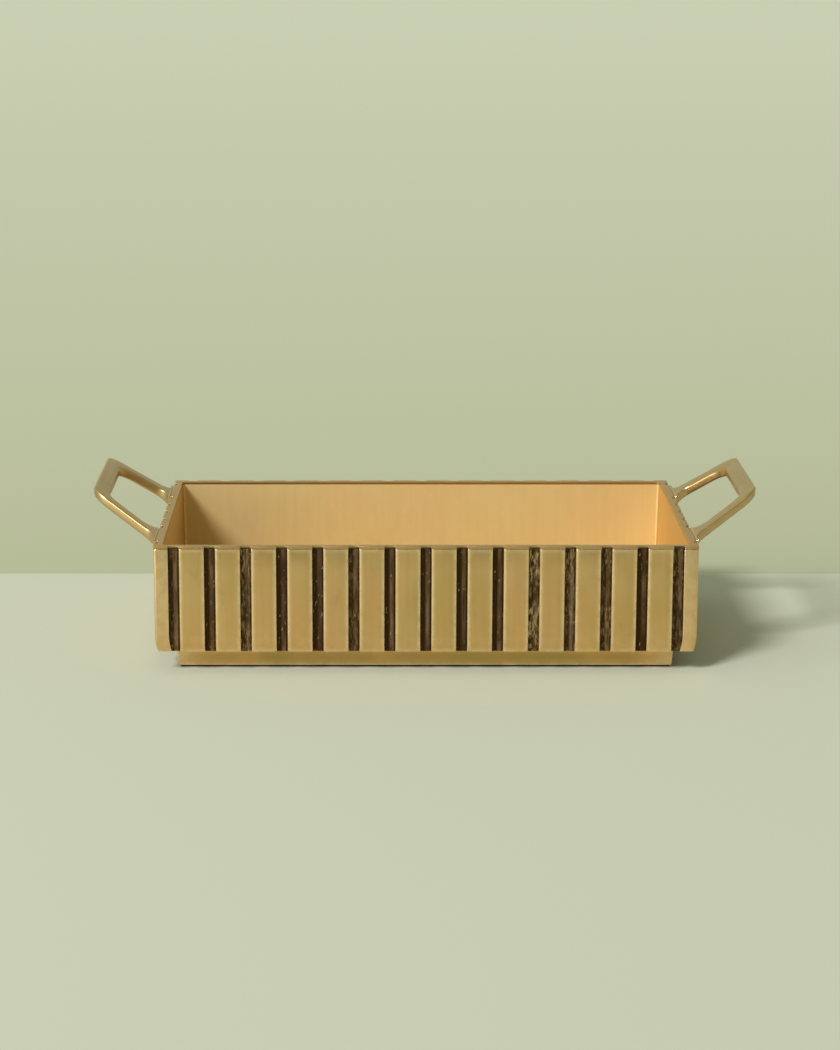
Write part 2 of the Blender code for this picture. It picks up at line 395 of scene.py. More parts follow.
def add_node(tree: bpy.types.NodeTree, kind: str, inputs: dict[str | int, Source] | None = None,
             **settings: str | bool) -> bpy.types.Node:
    """Add a node to a tree.

    Args:
        tree: the tree.
        kind: the node's type.
        inputs: what feeds each input.
        **settings: the node's own settings.

    Returns:
        The node.
    """
    node = tree.nodes.new(kind)
    for name, value in settings.items():
        setattr(node, name, value)
    for name, source in (inputs or {}).items():
        join(tree, source, node.inputs[name])
    return node


class NodeBench:
    """A shader's node tree, with short calls for the nodes that the finishes and the room use."""

    def __init__(self, tree: bpy.types.NodeTree, coordinates: str) -> None:
        """Take a tree, and the coordinates that its patterns read."""
        self.tree = tree
        self.place = add_node(tree, "ShaderNodeTexCoord").outputs[coordinates]

    def noise(self, scale: float, detail: float = 3.0, stretch: Place = (1.0, 1.0, 1.0),
              shift: float = 0.0, rough: float = 0.55) -> Socket:
        """Add a noise pattern.

        Args:
            scale: how many features there are in a metre.
            detail: number of finer layers.
            stretch: factor on the scale along each axis.
            shift: distance by which the pattern is moved.
            rough: strength of the finer layers.

        Returns:
            The noise's value, about 0.5 on average.
        """
        mapping = add_node(self.tree, "ShaderNodeMapping",
                           {"Vector": self.place, "Scale": stretch,
                            "Location": (shift, shift * 0.7, shift * 1.3)})
        pattern = add_node(self.tree, "ShaderNodeTexNoise",
                           {"Vector": mapping.outputs["Vector"], "Scale": scale, "Detail": detail,
                            "Roughness": rough})
        return pattern.outputs["Fac"]

    def attribute(self, name: str) -> Socket:
        """Read a value that was stored on the piece's points."""
        return add_node(self.tree, "ShaderNodeAttribute", attribute_name=name).outputs["Fac"]

    def axis(self, letter: str) -> Socket:
        """Read one of the coordinates."""
        return add_node(self.tree, "ShaderNodeSeparateXYZ", {"Vector": self.place}).outputs[letter]

    def remap(self, value: Socket, low: float, high: float, to_low: float = 0.0,
              to_high: float = 1.0, curve: str = "SMOOTHSTEP") -> Socket:
        """Bring a value from one range to another, with its ends held.

        Args:
            value: the value.
            low: value that becomes to_low.
            high: value that becomes to_high.
            to_low: result at the low end.
            to_high: result at the high end.
            curve: SMOOTHSTEP or LINEAR.

        Returns:
            The new value.
        """
        inputs = {"Value": value, "From Min": low, "From Max": high, "To Min": to_low, "To Max": to_high}
        node = add_node(self.tree, "ShaderNodeMapRange", inputs, interpolation_type=curve)
        return node.outputs["Result"]

    def mottle(self, pattern: Mottle) -> Socket:
        """Add a soft pattern, and return its share at each place."""
        value = self.noise(pattern.scale, pattern.detail, pattern.stretch, pattern.shift, pattern.rough)
        return self.remap(value, *pattern.span, *pattern.shares)

    def maths(self, operation: str, first: Source, second: Source, clamp: bool = False) -> Socket:
        """Work out one value from two with a Math node, held between 0 and 1 where clamp is set."""
        inputs, settings = {0: first, 1: second}, {"operation": operation, "use_clamp": clamp}
        return add_node(self.tree, "ShaderNodeMath", inputs, **settings).outputs["Value"]

    def plus(self, first: Source, second: Source, clamp: bool = False) -> Socket:
        """Add two values."""
        return self.maths("ADD", first, second, clamp)

    def minus(self, first: Source, second: Source, clamp: bool = False) -> Socket:
        """Take the second value from the first."""
        return self.maths("SUBTRACT", first, second, clamp)

    def times(self, first: Source, second: Source, clamp: bool = False) -> Socket:
        """Multiply two values."""
        return self.maths("MULTIPLY", first, second, clamp)

    def blend(self, share: Source, first: Source, second: Source, mode: str = "MIX") -> Socket:
        """Blend two colours, by the share of the second one."""
        inputs = {0: share, 6: first, 7: second}
        return add_node(self.tree, "ShaderNodeMix", inputs, data_type="RGBA", blend_type=mode).outputs[2]

    def bump(self, height: Source, distance: float, strength: Source,
             under: Socket | None = None) -> Socket:
        """Add a fine relief.

        Args:
            height: the relief's pattern.
            distance: its depth in metres.
            strength: its share.
            under: another relief that it lies on.

        Returns:
            The changed normal.
        """
        inputs = {"Height": height, "Distance": distance, "Strength": strength}
        if under is not None:
            inputs["Normal"] = under
        return add_node(self.tree, "ShaderNodeBump", inputs).outputs["Normal"]


class FinishBench(NodeBench):
    """A material's node tree, which starts with only its shader and output."""

    def __init__(self, name: str) -> None:
        """Start a material, whose patterns read the object's own coordinates.

        Args:
            name: name of the material.
        """
        self.material = bpy.data.materials.new(name)
        self.material.use_nodes = True
        super().__init__(self.material.node_tree, "Object")
        self.shader = self.tree.nodes["Principled BSDF"]

    def feed(self, **sockets: Source) -> None:
        """Feed the shader's sockets, named with underscores for spaces."""
        for name, source in sockets.items():
            join(self.tree, source, self.shader.inputs[name.replace("_", " ")])


# ---- Finishes ----


@dataclass(frozen=True)
class Brass:
    """A satin brass: soft clouds of three tones, a warmer foot, brushed grain and rubbed edges, whose pale
    colour is also a painted highlight.
    """

    name: str
    pale: Colour = (0.73, 0.480, 0.205)
    olive: Colour = (0.59, 0.400, 0.135)
    copper: Colour = (0.72, 0.430, 0.175)
    foot: Colour = (0.72, 0.425, 0.140)
    tarnish: Colour = (0.34, 0.215, 0.080)
    # Pale colour of the rubbed edges: wear, and a painted highlight as well.
    rubbed: Colour = (1.00, 0.77, 0.47)
    grain: Grain = Grain.UPRIGHT
    roughness: float = 0.36
    rubbed_share: float = 0.8
    rubbed_gain: float = 0.10
    spread: float = 0.035
    tarnish_share: float = 0.30
    tarnish_dulling: float = 0.16
    grain_scale: float = 1500.0
    grain_span: Point = (0.3, 0.7)
    grain_depth: float = 0.00003
    grain_relief: float = 0.22
    bar_tone_share: float = 0.3
    foot_heights: Point = (0.012, 0.062)
    haze_heights: Point = (0.060, 0.076)
    metal: float = 0.94
    clouds: Mottle = Mottle(30.0, 2.0, (1.0, 1.0, 0.6), 0.0, (0.38, 0.64), (0.0, 0.75))
    warmth: Mottle = Mottle(24.0, 2.0, (1.0, 1.0, 0.7), 4.0, (0.48, 0.70), (0.0, 0.85))
    foot_patches: Mottle = Mottle(34.0, 2.0, (1.0, 1.0, 0.45), 2.0, (0.34, 0.7), (0.1, 0.9))
    haze: Mottle = Mottle(26.0, 3.0, (1.0, 1.0, 0.6), 8.0, (0.35, 0.65), (0.10, 0.55))
    streaks: Mottle = Mottle(260.0, 3.0, (1.0, 1.0, 1.0), 5.0, (0.35, 0.7), (0.0, 0.12))
    stains: Mottle = Mottle(80.0, 5.0, (1.0, 1.0, 0.5), 7.0, (0.60, 0.80), (0.0, 1.0), 0.6)
    chafing: Mottle = Mottle(200.0, 3.0, (1.0, 1.0, 1.0), 3.0, (0.3, 0.62), (0.55, 1.0))

    def colour(self, bench: NodeBench) -> tuple[Socket, Socket]:
        """Lay the tones over each other.

        Args:
            bench: the material's nodes.

        Returns:
            The colour without rubbed edges, and how tarnished each place is.
        """
        bar_tone = bench.times(bench.attribute("bar_tone"), self.bar_tone_share)
        tone = bench.blend(bench.plus(bench.mottle(self.clouds), bar_tone, clamp=True), self.pale, self.olive)
        tone = bench.blend(bench.mottle(self.warmth), tone, self.copper)
        lowness = bench.minus(1.0, bench.remap(bench.axis("Z"), *self.foot_heights))
        tone = bench.blend(bench.times(lowness, bench.mottle(self.foot_patches)), tone, self.foot)
        # Darker, in mottled patches, towards the top.
        highness = bench.remap(bench.axis("Z"), *self.haze_heights)
        tone = bench.blend(bench.times(bench.mottle(self.haze), highness), tone, self.tarnish)
        brushed = replace(self.streaks, stretch=self.grain.value)
        tone = bench.blend(bench.mottle(brushed), tone, self.tarnish)
        stain = bench.times(bench.mottle(self.stains), self.tarnish_share)
        return bench.blend(stain, tone, self.tarnish), stain

    def scratches(self, bench: NodeBench) -> tuple[Socket, Socket]:
        """Add the brushed grain.

        Args:
            bench: the material's nodes.

        Returns:
            The grain's pattern, and the roughness that it gives.
        """
        grain = bench.noise(self.grain_scale, stretch=self.grain.value, shift=1.0)
        least, most = self.roughness - self.spread, self.roughness + self.spread
        return grain, bench.remap(grain, *self.grain_span, least, most)

    def make(self) -> Material:
        """Make the material.

        Returns:
            The finished material.
        """
        bench = FinishBench(self.name)
        tone, stain = self.colour(bench)
        grain, dullness = self.scratches(bench)
        # The outward edges turn pale: wear, and a painted highlight as well.
        worn = bench.times(bench.attribute("worn"), bench.mottle(self.chafing), clamp=True)
        tone = bench.blend(bench.times(worn, self.rubbed_share), tone, self.rubbed)
        dullness = bench.plus(dullness, bench.times(stain, self.tarnish_dulling))
        dullness = bench.minus(dullness, bench.times(worn, self.rubbed_gain), clamp=True)
        relief = bench.bump(grain, self.grain_depth, self.grain_relief)
        bench.feed(Base_Color=tone, Roughness=dullness, Normal=relief, Metallic=self.metal)
        return bench.material


@dataclass(frozen=True)
class PatinaBrass(Brass):
    """Satin brass with a brown patina on the parts that polishing does not reach, with painted shade and a
    painted lit streak in its grooves.
    """

    # The black is patina and painted shade; the violet is patina and a painted lit patch on the groove's
    # floor.
    brown: Colour = (0.105, 0.048, 0.010)
    violet: Colour = (0.225, 0.135, 0.080)
    black: Colour = (0.022, 0.010, 0.002)
    tarnish_dulling: float = 0.12
    patina_metal: float = 0.86
    patina_roughness: float = 0.42
    bared_gain: float = 0.12
    bared_share: float = 0.5
    speck_share: float = 0.6
    edge_share: float = 0.85
    crust_depth: float = 0.00020
    crust_relief: float = 0.4
    # Seen from outside, the streaks lie right of the middle of each groove and the black is wider on the
    # left: painted light and painted shade.
    streaks_from: Point = (-0.30, 0.15)
    streaks_to: Point = (0.50, 0.90)
    crust: Mottle = Mottle(420.0, 5.0, (1.0, 1.0, 0.10), 4.0, (0.36, 0.62), (0.0, 1.0), 0.6)
    soot: Mottle = Mottle(70.0, 4.0, (1.0, 1.0, 0.4), 6.0, (0.40, 0.66), (0.0, 0.6))
    patches: Mottle = Mottle(60.0, 2.0, (0.4, 0.4, 1.0), 11.0, (0.36, 0.60), (0.25, 1.0))
    flecks: Mottle = Mottle(1200.0, 4.0, (1.0, 1.0, 0.20), 12.0, (0.44, 0.66), (0.0, 1.0), 0.6)
    specks: Mottle = Mottle(700.0, 2.0, (1.0, 1.0, 0.35), 15.0, (0.64, 0.74))

    def bared(self, bench: NodeBench) -> Socket:
        """Find where the patina is rubbed through: some grooves in patches, and single specks.

        Args:
            bench: the material's nodes.

        Returns:
            How bare each place is.
        """
        rubbed = bench.times(bench.mottle(self.patches), bench.mottle(self.flecks))
        rubbed = bench.times(rubbed, bench.attribute("rubbed"))
        specks = bench.times(bench.mottle(self.specks), self.speck_share)
        return bench.maths("MAXIMUM", rubbed, specks, clamp=True)

    def patina(self, bench: NodeBench, crust: Socket) -> Socket:
        """Lay the patina's tones: black along both ribs, brown and violet streaks between them, with painted
        shade and a painted lit streak.

        Args:
            bench: the material's nodes.
            crust: the pattern of the crust.

        Returns:
            The patina's colour.
        """
        across = bench.attribute("across")
        # Seen from outside, the black reaches further from the left rib (painted shade), and the brown and
        # violet streak lies right of the middle (painted light).
        rising = bench.remap(across, *self.streaks_from)
        falling = bench.remap(across, *self.streaks_to, 1.0, 0.0)
        middle = bench.times(rising, falling)
        tone = bench.blend(bench.times(crust, middle), self.brown, self.violet)
        edge = bench.times(bench.minus(1.0, middle), self.edge_share)
        return bench.blend(bench.maths("MAXIMUM", bench.mottle(self.soot), edge), tone, self.black)

    def make(self) -> Material:
        """Make the material.

        Returns:
            The finished material, patinated where a piece's "outside" value is 1.
        """
        bench = FinishBench(self.name)
        tone, stain = self.colour(bench)
        outside = bench.attribute("outside")
        crust = bench.mottle(self.crust)
        bared = self.bared(bench)
        patina = bench.blend(bench.times(bared, self.bared_share), self.patina(bench, crust), self.pale)
        tone = bench.blend(outside, tone, patina)
        grain, dullness = self.scratches(bench)
        dullness = bench.plus(dullness, bench.times(stain, self.tarnish_dulling))
        crust_dullness = bench.minus(self.patina_roughness, bench.times(bared, self.bared_gain))
        dullness = bench.plus(dullness, bench.times(bench.minus(crust_dullness, dullness), outside))
        metal = bench.plus(bench.times(outside, self.patina_metal - self.metal), self.metal)
        crusted = bench.bump(crust, self.crust_depth, bench.times(outside, self.crust_relief))
        relief = bench.bump(grain, self.grain_depth, self.grain_relief, crusted)
        bench.feed(Base_Color=tone, Roughness=dullness, Normal=relief, Metallic=metal)
        return bench.material


@dataclass(frozen=True)
class Felt:
    """Black wool felt with a short, uneven pile."""

    name: str
    dark: Colour = (0.010, 0.009, 0.008)
    light: Colour = (0.035, 0.032, 0.028)
    fibre_scale: float = 2600.0
    fibre_span: Point = (0.35, 0.7)
    fibre_relief: Point = (0.0002, 0.8)
    tuft_scale: float = 500.0
    tuft_span: Point = (0.3, 0.7)
    tuft_relief: Point = (0.0003, 0.6)
    roughness: Point = (0.88, 0.98)
    sheen: float = 0.25

    def make(self) -> Material:
        """Make the material.

        Returns:
            The finished material.
        """
        bench = FinishBench(self.name)
        fibres = bench.noise(self.fibre_scale, 5.0, rough=0.7)
        tufts = bench.noise(self.tuft_scale, shift=2.0)
        tone = bench.blend(bench.remap(fibres, *self.fibre_span), self.dark, self.light)
        relief = bench.bump(tufts, *self.tuft_relief, bench.bump(fibres, *self.fibre_relief))
        dullness = bench.remap(tufts, *self.tuft_span, *self.roughness)
        bench.feed(Base_Color=tone, Roughness=dullness, Normal=relief, Sheen_Weight=self.sheen)
        return bench.material


RIB_BRASS = Brass("rib_brass")
RIM_BRASS = PatinaBrass("rim_brass", grain=Grain.ROUND, roughness=0.34, grain_relief=0.0, spread=0.01,
                        haze_heights=(0.5, 1.0), pale=(0.62, 0.40, 0.17), olive=(0.55, 0.36, 0.14),
                        copper=(0.62, 0.37, 0.14))
PLINTH_BRASS = Brass("plinth_brass", grain=Grain.LENGTHWAYS, pale=(0.545, 0.355, 0.112),
                     olive=(0.49, 0.33, 0.095), copper=(0.545, 0.33, 0.105))
HANDLE_BRASS = Brass("handle_brass", grain=Grain.ROUND, roughness=0.34, grain_relief=0.0, spread=0.01,
                     haze_heights=(0.5, 1.0), pale=(0.54, 0.375, 0.17), olive=(0.48, 0.335, 0.145),
                     copper=(0.56, 0.35, 0.16), rubbed=(0.86, 0.67, 0.38))
# Two copies of one brass for the wall plates: a paler, more diffuse one for the long walls (painted light)
# and a deeper one for the end walls (painted shade).
LIT_WALL_BRASS = PatinaBrass("wall_brass", metal=0.58, roughness=0.50, tarnish_share=0.05,
                         haze_heights=(0.5, 1.0), pale=(0.88, 0.66, 0.31), olive=(0.86, 0.64, 0.28),
                         copper=(0.88, 0.63, 0.29), foot=(0.88, 0.65, 0.28), tarnish=(0.7, 0.48, 0.18))
SHADED_END_BRASS = PatinaBrass("end_brass", metal=0.86, roughness=0.46, tarnish_share=0.05,
                        haze_heights=(0.5, 1.0), pale=(0.70, 0.48, 0.18), olive=(0.68, 0.46, 0.16),
                        copper=(0.70, 0.45, 0.17), foot=(0.70, 0.46, 0.16), tarnish=(0.5, 0.33, 0.11))
# A darker copy of the brass for the tray's floor, which deepens the shade inside the tray: painted shade.
SHADE_DEEPENING_FLOOR_BRASS = Brass("floor_brass", grain=Grain.LENGTHWAYS, roughness=0.42, pale=(0.50, 0.33, 0.12),
                    olive=(0.44, 0.30, 0.10), copper=(0.50, 0.30, 0.11), foot=(0.5, 0.33, 0.12))
BLACK_FELT = Felt("black_felt")


# ---- Sub-assemblies ----


@dataclass(frozen=True)
class Foot:
    """The inward curve of the lower edge of every side."""

    base: float
    height: float = 0.0105
    depth: float = 0.0015
    steps: int = 7

    def levels(self) -> list[float]:
        """Return the heights of the loops that carry the curve."""
        return [self.base + self.height * (1 - count / self.steps) for count in range(self.steps)]

    def setback(self, height: float) -> float:
        """Return how far the outer surface is drawn in at a height."""
        share = (self.base + self.height - height) / self.height
        return self.depth * max(0.0, share) ** 2


@dataclass
class RibRow:
    """The upright bars of one side: one shaped bar, set out along the side by Geometry Nodes."""

    side: Side
    foot: Foot
    finish: Material
    rounding: Point = (0.0020, 0.0012)
    crown: float = 0.00020
    end_rounding: float = 0.0006
    end_steps: int = 3
    end_fold: float = math.radians(60)
    worn_fold: float = math.radians(13)
    arc_steps: int = 6
    face_steps: int = 10
    levels_over_base: tuple[float, ...] = (0.02, 0.03, 0.04, 0.05)
    levels_under_top: tuple[float, ...] = (0.006, 0.003, 0.0015)
    unevenness: float = 0.00018
    waves: float = 95.0
    first_seed: int = 3

    def __post_init__(self) -> None:
        """Read the bars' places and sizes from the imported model."""
        self.nodes = rib_names(self.side)
        _, self.width, self.pitch = rib_spacing(self.side)
        low, high = box_of(self.nodes[0])
        across = 1 if self.side.is_long else 0
        self.depth = (high[across] - low[across]) - self.foot.depth
        self.base, self.top = low.z, high.z
        self.reach = max(abs(low[across]), abs(high[across]))

    def outline(self) -> list[Point]:
        """Work out the bar's section: a crowned face, eased long edges and a flat back.

        Returns:
            The points of the closed outline.
        """
        half = self.width / 2
        ease_x, ease_y = self.rounding
        points = [(-half, -self.depth)]
        for count in range(self.arc_steps + 1):
            turn = math.pi / 2 * count / self.arc_steps
            y = -ease_y * (1 - math.sin(turn)) - self.crown
            points.append((-half + ease_x * (1 - math.cos(turn)), y))
        for count in range(1, self.face_steps):
            x = (half - ease_x) * (2 * count / self.face_steps - 1)
            points.append((x, -self.crown * (x / (half - ease_x)) ** 2))
        return points + [(-x, y) for x, y in reversed(points[:self.arc_steps + 2])]

    def bar(self) -> Object:
        """Make the shaped bar that the row repeats.

        Returns:
            The bar, upright, with the middle of its face on the Z axis.
        """
        straight = [self.base + rise for rise in self.levels_over_base]
        straight += [self.top - drop for drop in self.levels_under_top]
        mesh = prism("bar", self.outline(), self.base, self.top, self.foot.levels() + straight)
        for vertex in mesh.vertices:
            vertex.co.y -= self.foot.setback(vertex.co.z)
        bar = new_object("bar", mesh)
        round_edges(bar, self.end_rounding, self.end_steps, self.end_fold)
        finished_mesh(bar)
        mark_worn_edges(bar.data, self.worn_fold)
        return bar

    def tree(self) -> bpy.types.GeometryNodeTree:
        """Build the node tree that sets out a row of bars and makes each a little different.

        Returns:
            The tree, with its sizes as named inputs.
        """
        tree = bpy.data.node_groups.new("row_of_bars", "GeometryNodeTree")
        tree.interface.new_socket("Bars", in_out="OUTPUT", socket_type="NodeSocketGeometry")
        for name, kind in (("Bar", "Object"), ("Count", "Int"), ("Pitch", "Float"), ("Seed", "Int"),
                           ("Unevenness", "Float"), ("Finish", "Material")):
            tree.interface.new_socket(name, in_out="INPUT", socket_type="NodeSocket" + kind)
        start = add_node(tree, "NodeGroupInput").outputs

        gaps = add_node(tree, "ShaderNodeMath", {0: start["Count"], 1: 1.0}, operation="SUBTRACT")
        run = add_node(tree, "ShaderNodeMath", {0: gaps.outputs[0], 1: start["Pitch"]}, operation="MULTIPLY")
        first = add_node(tree, "ShaderNodeMath", {0: run.outputs[0], 1: -0.5}, operation="MULTIPLY")
        place = add_node(tree, "ShaderNodeCombineXYZ", {"X": first.outputs[0]})
        step = add_node(tree, "ShaderNodeCombineXYZ", {"X": start["Pitch"]})
        line = add_node(tree, "GeometryNodeMeshLine",
                        {"Count": start["Count"], "Start Location": place.outputs[0],
                         "Offset": step.outputs[0]})
        bar = add_node(tree, "GeometryNodeObjectInfo", {"Object": start["Bar"]})
        bars = add_node(tree, "GeometryNodeInstanceOnPoints",
                        {"Points": line.outputs["Mesh"], "Instance": bar.outputs["Geometry"]})
        chance = add_node(tree, "FunctionNodeRandomValue", {"Seed": start["Seed"]})
        toned = add_node(tree, "GeometryNodeStoreNamedAttribute",
                         {"Geometry": bars.outputs["Instances"], "Name": "bar_tone",
                          "Value": chance.outputs[1]}, domain="INSTANCE")
        real = add_node(tree, "GeometryNodeRealizeInstances", {"Geometry": toned.outputs["Geometry"]})

        wave = add_node(tree, "ShaderNodeTexNoise", noise_dimensions="4D")
        for name, source in (("W", start["Seed"]), ("Scale", self.waves), ("Detail", 2.0)):
            join(tree, source, wave.inputs[name])
        centred = add_node(tree, "ShaderNodeVectorMath", {0: wave.outputs["Color"], 1: (0.5, 0.5, 0.5)},
                           operation="SUBTRACT")
        sized = add_node(tree, "ShaderNodeVectorMath",
                         {0: centred.outputs[0], "Scale": start["Unevenness"]}, operation="SCALE")
        moved = add_node(tree, "GeometryNodeSetPosition",
                         {"Geometry": real.outputs["Geometry"], "Offset": sized.outputs[0]})
        finished = add_node(tree, "GeometryNodeSetMaterial",
                            {"Geometry": moved.outputs["Geometry"], "Material": start["Finish"]})
        add_node(tree, "NodeGroupOutput", {"Bars": finished.outputs["Geometry"]})
        return tree

    def build(self) -> Object:
        """Make the row as one plain mesh and dress it.

        Returns:
            The finished row.
        """
        bar = self.bar()
        row = new_object(f"ribs_{self.side.label}", bpy.data.meshes.new("row"))
        modifier = row.modifiers.new("row_of_bars", "NODES")
        modifier.node_group = self.tree()
        values = {"Bar": bar, "Count": len(self.nodes), "Pitch": self.pitch, "Finish": self.finish,
                  "Seed": list(Side).index(self.side) + self.first_seed, "Unevenness": self.unevenness}
        for item in modifier.node_group.interface.items_tree:
            if item.in_out == "INPUT":
                modifier[item.identifier] = values[item.name]
        row.matrix_world = self.side.frame(self.reach)
        finished_mesh(row)
        bpy.data.objects.remove(bar)
        return dress(row, self.finish, self.nodes)


@dataclass
class CornerPost:
    """The angle over one upright corner."""

    corner: Corner
    foot: Foot
    finish: Material
    leg: float = 0.00845
    thickness: float = 0.0015
    corner_radius: float = 0.0016
    edge_rounding: float = 0.0006
    edge_steps: int = 4

    def build(self) -> Object:
        """Make the angle and dress it.

        Returns:
            The finished angle.
        """
        label, x_sign, y_sign = self.corner.value
        low, high = box_of("post_" + label)
        reach = Vector((max(abs(low.x), abs(high.x)), max(abs(low.y), abs(high.y))))
        back = -self.thickness
        points = [(0.0, 0.0, self.corner_radius), (-self.leg, 0.0, 0.0), (-self.leg, back, 0.0),
                  (back, back, 0.0), (back, -self.leg, 0.0), (0.0, -self.leg, 0.0)]
        mesh = prism("post", rounded_outline(points), low.z, high.z, self.foot.levels())
        for vertex in mesh.vertices:
            setback = self.foot.setback(vertex.co.z)
            vertex.co.x = x_sign * (reach.x + vertex.co.x - setback)
            vertex.co.y = y_sign * (reach.y + vertex.co.y - setback)
        if x_sign * y_sign < 0:
            mesh.flip_normals()
        post = new_object(f"corner_{label}", mesh)
        round_edges(post, self.edge_rounding, self.edge_steps)
        finished_mesh(post)
        mark_worn_edges(post.data)
        return dress(post, self.finish, ["post_" + label])


@dataclass
class WallPlate:
    """One side's plate, with mitred ends, a curved outer foot and a leaning inner face."""

    side: Side
    foot: Foot
    finish: Material
    draft: float = math.radians(1.3)
    mitre_gap: float = 0.00004
    groove_shares: tuple[float, ...] = (-1.0, -0.55, 0.0, 0.55, 1.0)
    fillet: float = 0.0020
    fillet_runs: tuple[float, ...] = (0.0, 0.45, 0.65, 0.85, 1.0)
    rubbed: dict[int, float] = field(default_factory=lambda: {0: 0.4, 2: 0.6, 3: 0.55, 4: 1.0, 9: 0.3,
                                                             12: 0.6, 14: 0.2})

    def station(self, section: list[Point], inner_from: int, end: float, run: float) -> list[Vector]:
        """Work out one station near an end of the plate, where the inner face turns into the fillet.

        Args:
            section: the plate's section.
            inner_from: index of the section's first inner point.
            end: half the length of the side, with the sign of the end.
            run: distance from the mitre, as a share of the fillet's radius.

        Returns:
            The station's points.
        """
        rest = 1 - max(run, 1 - math.sqrt(0.5))
        swell = self.fillet * (1 - math.sqrt(1 - rest * rest))
        points = []
        for index, (depth, height) in enumerate(section):
            swollen = depth + (swell if index >= inner_from else 0.0)
            away = depth + self.fillet * run if run > 0 else swollen + self.mitre_gap
            points.append(Vector((end - math.copysign(away, end), -swollen, height)))
        return points

    def stations(self, section: list[Point], inner_from: int, half_side: float) -> list[list[Vector]]:
        """Work out all the plate's stations.

        Args:
            section: the plate's section.
            inner_from: index of the section's first inner point.
            half_side: half the length of the side.

        Returns:
            The stations, from one mitred end to the other.
        """
        first = [self.station(section, inner_from, -half_side, run) for run in self.fillet_runs]
        last = [self.station(section, inner_from, half_side, run) for run in reversed(self.fillet_runs)]
        middle = []
        for start, end in groove_spans(self.side):
            for share in self.groove_shares:
                x = (start + end) / 2 + share * (end - start) / 2
                middle.append([Vector((x, -depth, height)) for depth, height in section])
        return first + middle + last

    def mark_grooves(self, mesh: Mesh, row: int) -> None:
        """Store each point's place across its groove, and how far its groove is rubbed.

        Args:
            mesh: the plate's mesh.
            row: number of points in a station.
        """
        ends = [0.0] * len(self.fillet_runs)
        across, rubbed = list(ends), list(ends)
        for index in range(len(groove_spans(self.side))):
            across += [-share for share in self.groove_shares]
            rubbed += [self.rubbed.get(index, 0.0)] * len(self.groove_shares)
        for name, marks in (("across", across + ends), ("rubbed", rubbed + ends)):
            store_values(mesh, name, [mark for mark in marks for _ in range(row)])

    def section(self, setback: float, thickness: float, low: float, high: float,
                floor: float) -> tuple[list[Point], list[Point]]:
        """Work out the plate's section.

        Args:
            setback: depth of the plate's outer face behind the side's outside.
            thickness: thickness of the plate at its top.
            low: height of its underside.
            high: height of its top.
            floor: height of the tray's floor, below which the inner face is upright.

        Returns:
            The points of the outer face, going down, and of the inner face, going up, as
            (depth, height).
        """
        lean = math.tan(self.draft)
        curve = [(setback + self.foot.setback(level), level) for level in self.foot.levels()]
        outer = [(setback, high)] + curve + [(setback + self.foot.depth, low)]
        back = setback + thickness
        middle = (floor + high) / 2
        inner = [(back + (high - floor) * lean, low), (back + (high - floor) * lean, floor),
                 (back + (high - middle) * lean, middle), (back, high)]
        return outer, inner

    def build(self) -> Object:
        """Make the plate and dress it.

        Returns:
            The finished plate.
        """
        node = "wall_" + self.side.label
        low, high = box_of(node)
        along, across = (0, 1) if self.side.is_long else (1, 0)
        _, rim_high = box_of("rim_frame")
        reach = rim_high[across]
        setback = reach - max(abs(low[across]), abs(high[across]))
        floor = box_of("floor_plate")[1].z
        thickness = high[across] - low[across] - (high.z - floor) * math.tan(self.draft)
        outer, inner = self.section(setback, thickness, low.z, high.z, floor)
        mesh = swept(node, self.stations(outer + inner, len(outer), rim_high[along]))
        self.mark_grooves(mesh, len(outer + inner))
        middle = -(setback + thickness / 2)
        outside = [1.0 if vertex.co.y > middle - self.foot.setback(vertex.co.z) * 0.5 else 0.0
                   for vertex in mesh.vertices]
        store_values(mesh, "outside", outside)
        mesh.transform(self.side.frame(reach))
        plate = finished_mesh(new_object(f"plate_{self.side.label}", mesh))
        return dress(plate, self.finish, [node])


@dataclass
class FloorPlate:
    """The tray's floor, slightly uneven as a hand-levelled plate is."""

    finish: Material
    rounding: float = 0.0003
    rounding_steps: int = 2
    edge_fold: float = math.radians(60)
    cell: float = 0.008
    unevenness: float = 0.00012
    wave: float = 0.05

    def build(self) -> Object:
        """Make the plate and dress it.

        Returns:
            The finished plate.
        """
        low, high = box_of("floor_plate")
        columns = round((high.x - low.x) / self.cell)
        rows = round((high.y - low.y) / self.cell)
        stations = []
        for column in range(columns + 1):
            x = low.x + (high.x - low.x) * column / columns
            upper = [Vector((x, low.y + (high.y - low.y) * row / rows, high.z)) for row in range(rows + 1)]
            lower = [Vector((x, point.y, low.z)) for point in reversed(upper)]
            stations.append(upper + lower)
        plate = new_object("floor", swept("floor_plate", stations))
        edge = self.rounding
        round_edges(plate, edge, self.rounding_steps, self.edge_fold)
        finished_mesh(plate)
        for vertex in plate.data.vertices:
            if low.x + edge < vertex.co.x < high.x - edge and low.y + edge < vertex.co.y < high.y - edge:
                dip = noise.noise(vertex.co / self.wave) * self.unevenness - self.unevenness
                vertex.co.z += dip if vertex.co.z > (low.z + high.z) / 2 else -dip
        return dress(plate, self.finish, ["floor_plate"])


